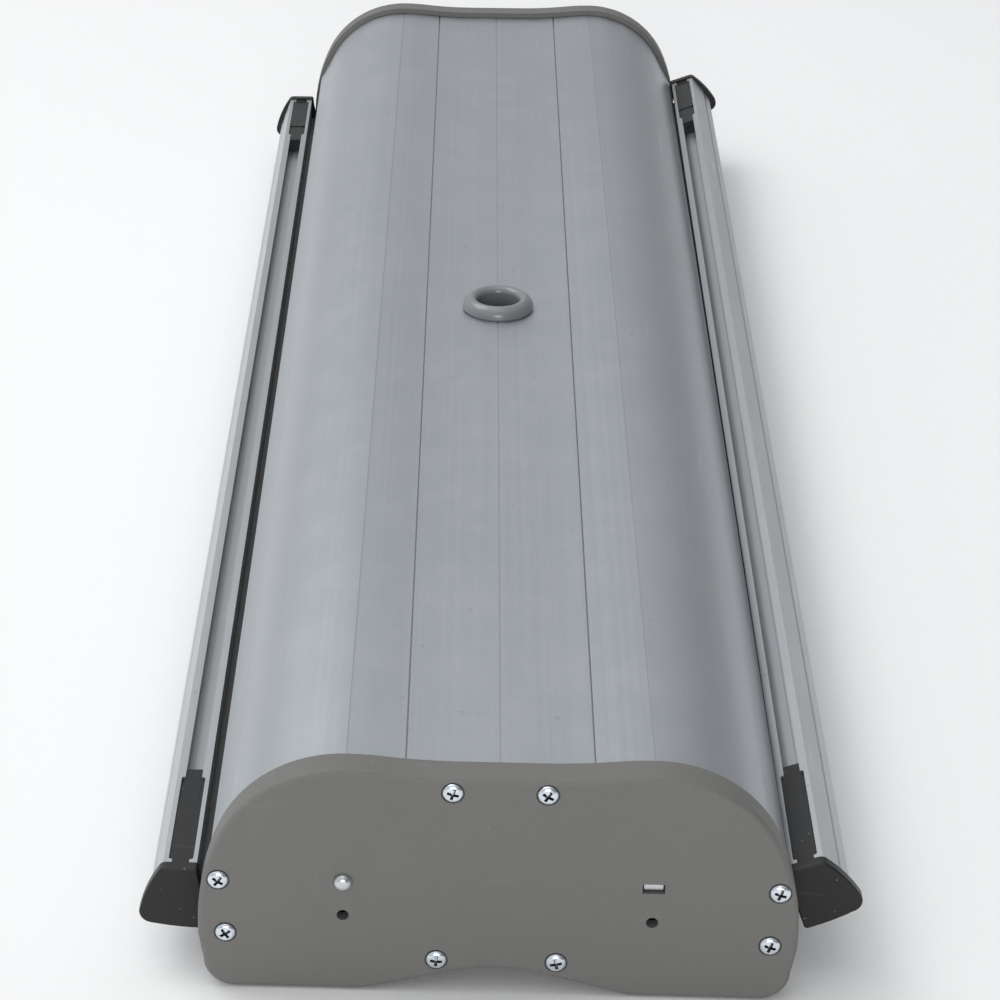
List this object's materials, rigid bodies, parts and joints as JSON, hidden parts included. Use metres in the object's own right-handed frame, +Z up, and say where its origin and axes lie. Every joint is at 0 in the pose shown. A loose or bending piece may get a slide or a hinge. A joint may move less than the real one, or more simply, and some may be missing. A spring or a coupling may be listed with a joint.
{
  "type": "double-sided roll-up banner stand",
  "caption": "Double-sided roll-up banner base, stowed: a twin-barrel aluminium housing with sprung rollers, a top rail along each side and a pole socket.",
  "frame": {"origin": "middle of the base's footprint, on the floor", "axes": "+X along the base towards the end plate whose right-hand upper hole is a slot, +Y across it towards the tilted top rail, +Z up"},
  "size_m": [0.9056, 0.274, 0.0982],
  "materials": {
    "anodised_aluminium": "satin silver anodised extrusion",
    "rail_aluminium": "satin silver anodised extrusion, slightly brighter",
    "mill_aluminium": "mill finish drawn tube",
    "end_plate_plastic": "fine matte moulded texture, taupe grey",
    "collar_plastic": "semi-gloss moulded, light grey",
    "black_plastic": "matte moulded",
    "nylon": "natural nylon",
    "banner_film": "matte coated film with a grey light-stopping layer; the tone is a guess, since the print is hidden",
    "zinc_screw": "bright zinc plated",
    "zinc_steel": "bright zinc plated rod",
    "spring_steel": "oiled spring wire"
  },
  "bodies": {
    "base": {"top_panel": "anodised_aluminium", "barrel_shell_left": "anodised_aluminium", "barrel_shell_right": "anodised_aluminium", "bottom_tray": "anodised_aluminium", "end_plate_near": "end_plate_plastic", "end_plate_far": "end_plate_plastic", "end_plate_screws_near": "zinc_screw", "end_plate_screws_far": "zinc_screw", "pole_socket_collar": "collar_plastic", "pole_socket_tube": "collar_plastic", "pole_socket_foot": "black_plastic", "pole_socket_screw": "zinc_screw", "spring_shaft_left": "zinc_steel", "spring_shaft_right": "zinc_steel", "torsion_spring_left": "spring_steel", "torsion_spring_right": "spring_steel"},
    "roller_left": {"roller_tube_left": "mill_aluminium", "film_roll_left": "banner_film", "spring_plug_left": "nylon", "idle_plug_left": "nylon", "idle_pin_left": "zinc_steel", "spring_anchor_left": "nylon"},
    "roller_right": {"roller_tube_right": "mill_aluminium", "film_roll_right": "banner_film", "spring_plug_right": "nylon", "idle_plug_right": "nylon", "idle_pin_right": "zinc_steel", "spring_anchor_right": "nylon"},
    "film_edge_left": {"film_web_left": "banner_film", "bead_strip_left": "nylon"},
    "film_edge_right": {"film_web_right": "banner_film", "bead_strip_right": "nylon"},
    "rail_left": {"rail_left": "rail_aluminium", "rail_cap_near_left": "black_plastic", "rail_cap_far_left": "black_plastic"},
    "rail_right": {"rail_right": "rail_aluminium", "rail_cap_near_right": "black_plastic", "rail_cap_far_right": "black_plastic"}
  },
  "joints": [
    {"name": "film_pull_left", "type": "slide", "parent": "base", "child": "film_edge_left", "axis": [0, 0, 1], "range_m": [0, 2], "deforming": ["film_web_left"]},
    {"name": "roller_turn_left", "type": "hinge", "parent": "base", "child": "roller_left", "pos_m": [0, -0.0577, 0.049], "axis": [1, 0, 0], "range_deg": [-5400, 0]},
    {"name": "rail_rock_left", "type": "hinge", "parent": "film_edge_left", "child": "rail_left", "pos_m": [0, -0.1172, 0.0291], "axis": [-1, 0, 0], "range_deg": [0, 20]},
    {"name": "film_pull_right", "type": "slide", "parent": "base", "child": "film_edge_right", "axis": [0, 0, 1], "range_m": [0, 2], "deforming": ["film_web_right"]},
    {"name": "roller_turn_right", "type": "hinge", "parent": "base", "child": "roller_right", "pos_m": [0, 0.0577, 0.049], "axis": [1, 0, 0], "range_deg": [0, 5400]},
    {"name": "rail_rock_right", "type": "hinge", "parent": "film_edge_right", "child": "rail_right", "pos_m": [0, 0.11643, 0.04036], "axis": [1, 0, -0.0093], "range_deg": [-20, 0]}
  ],
  "couplings": [
    {"joint": "roller_turn_left", "follows": "film_pull_left", "rad_per_m": -46.8},
    {"joint": "roller_turn_right", "follows": "film_pull_right", "rad_per_m": 46.8}
  ]
}
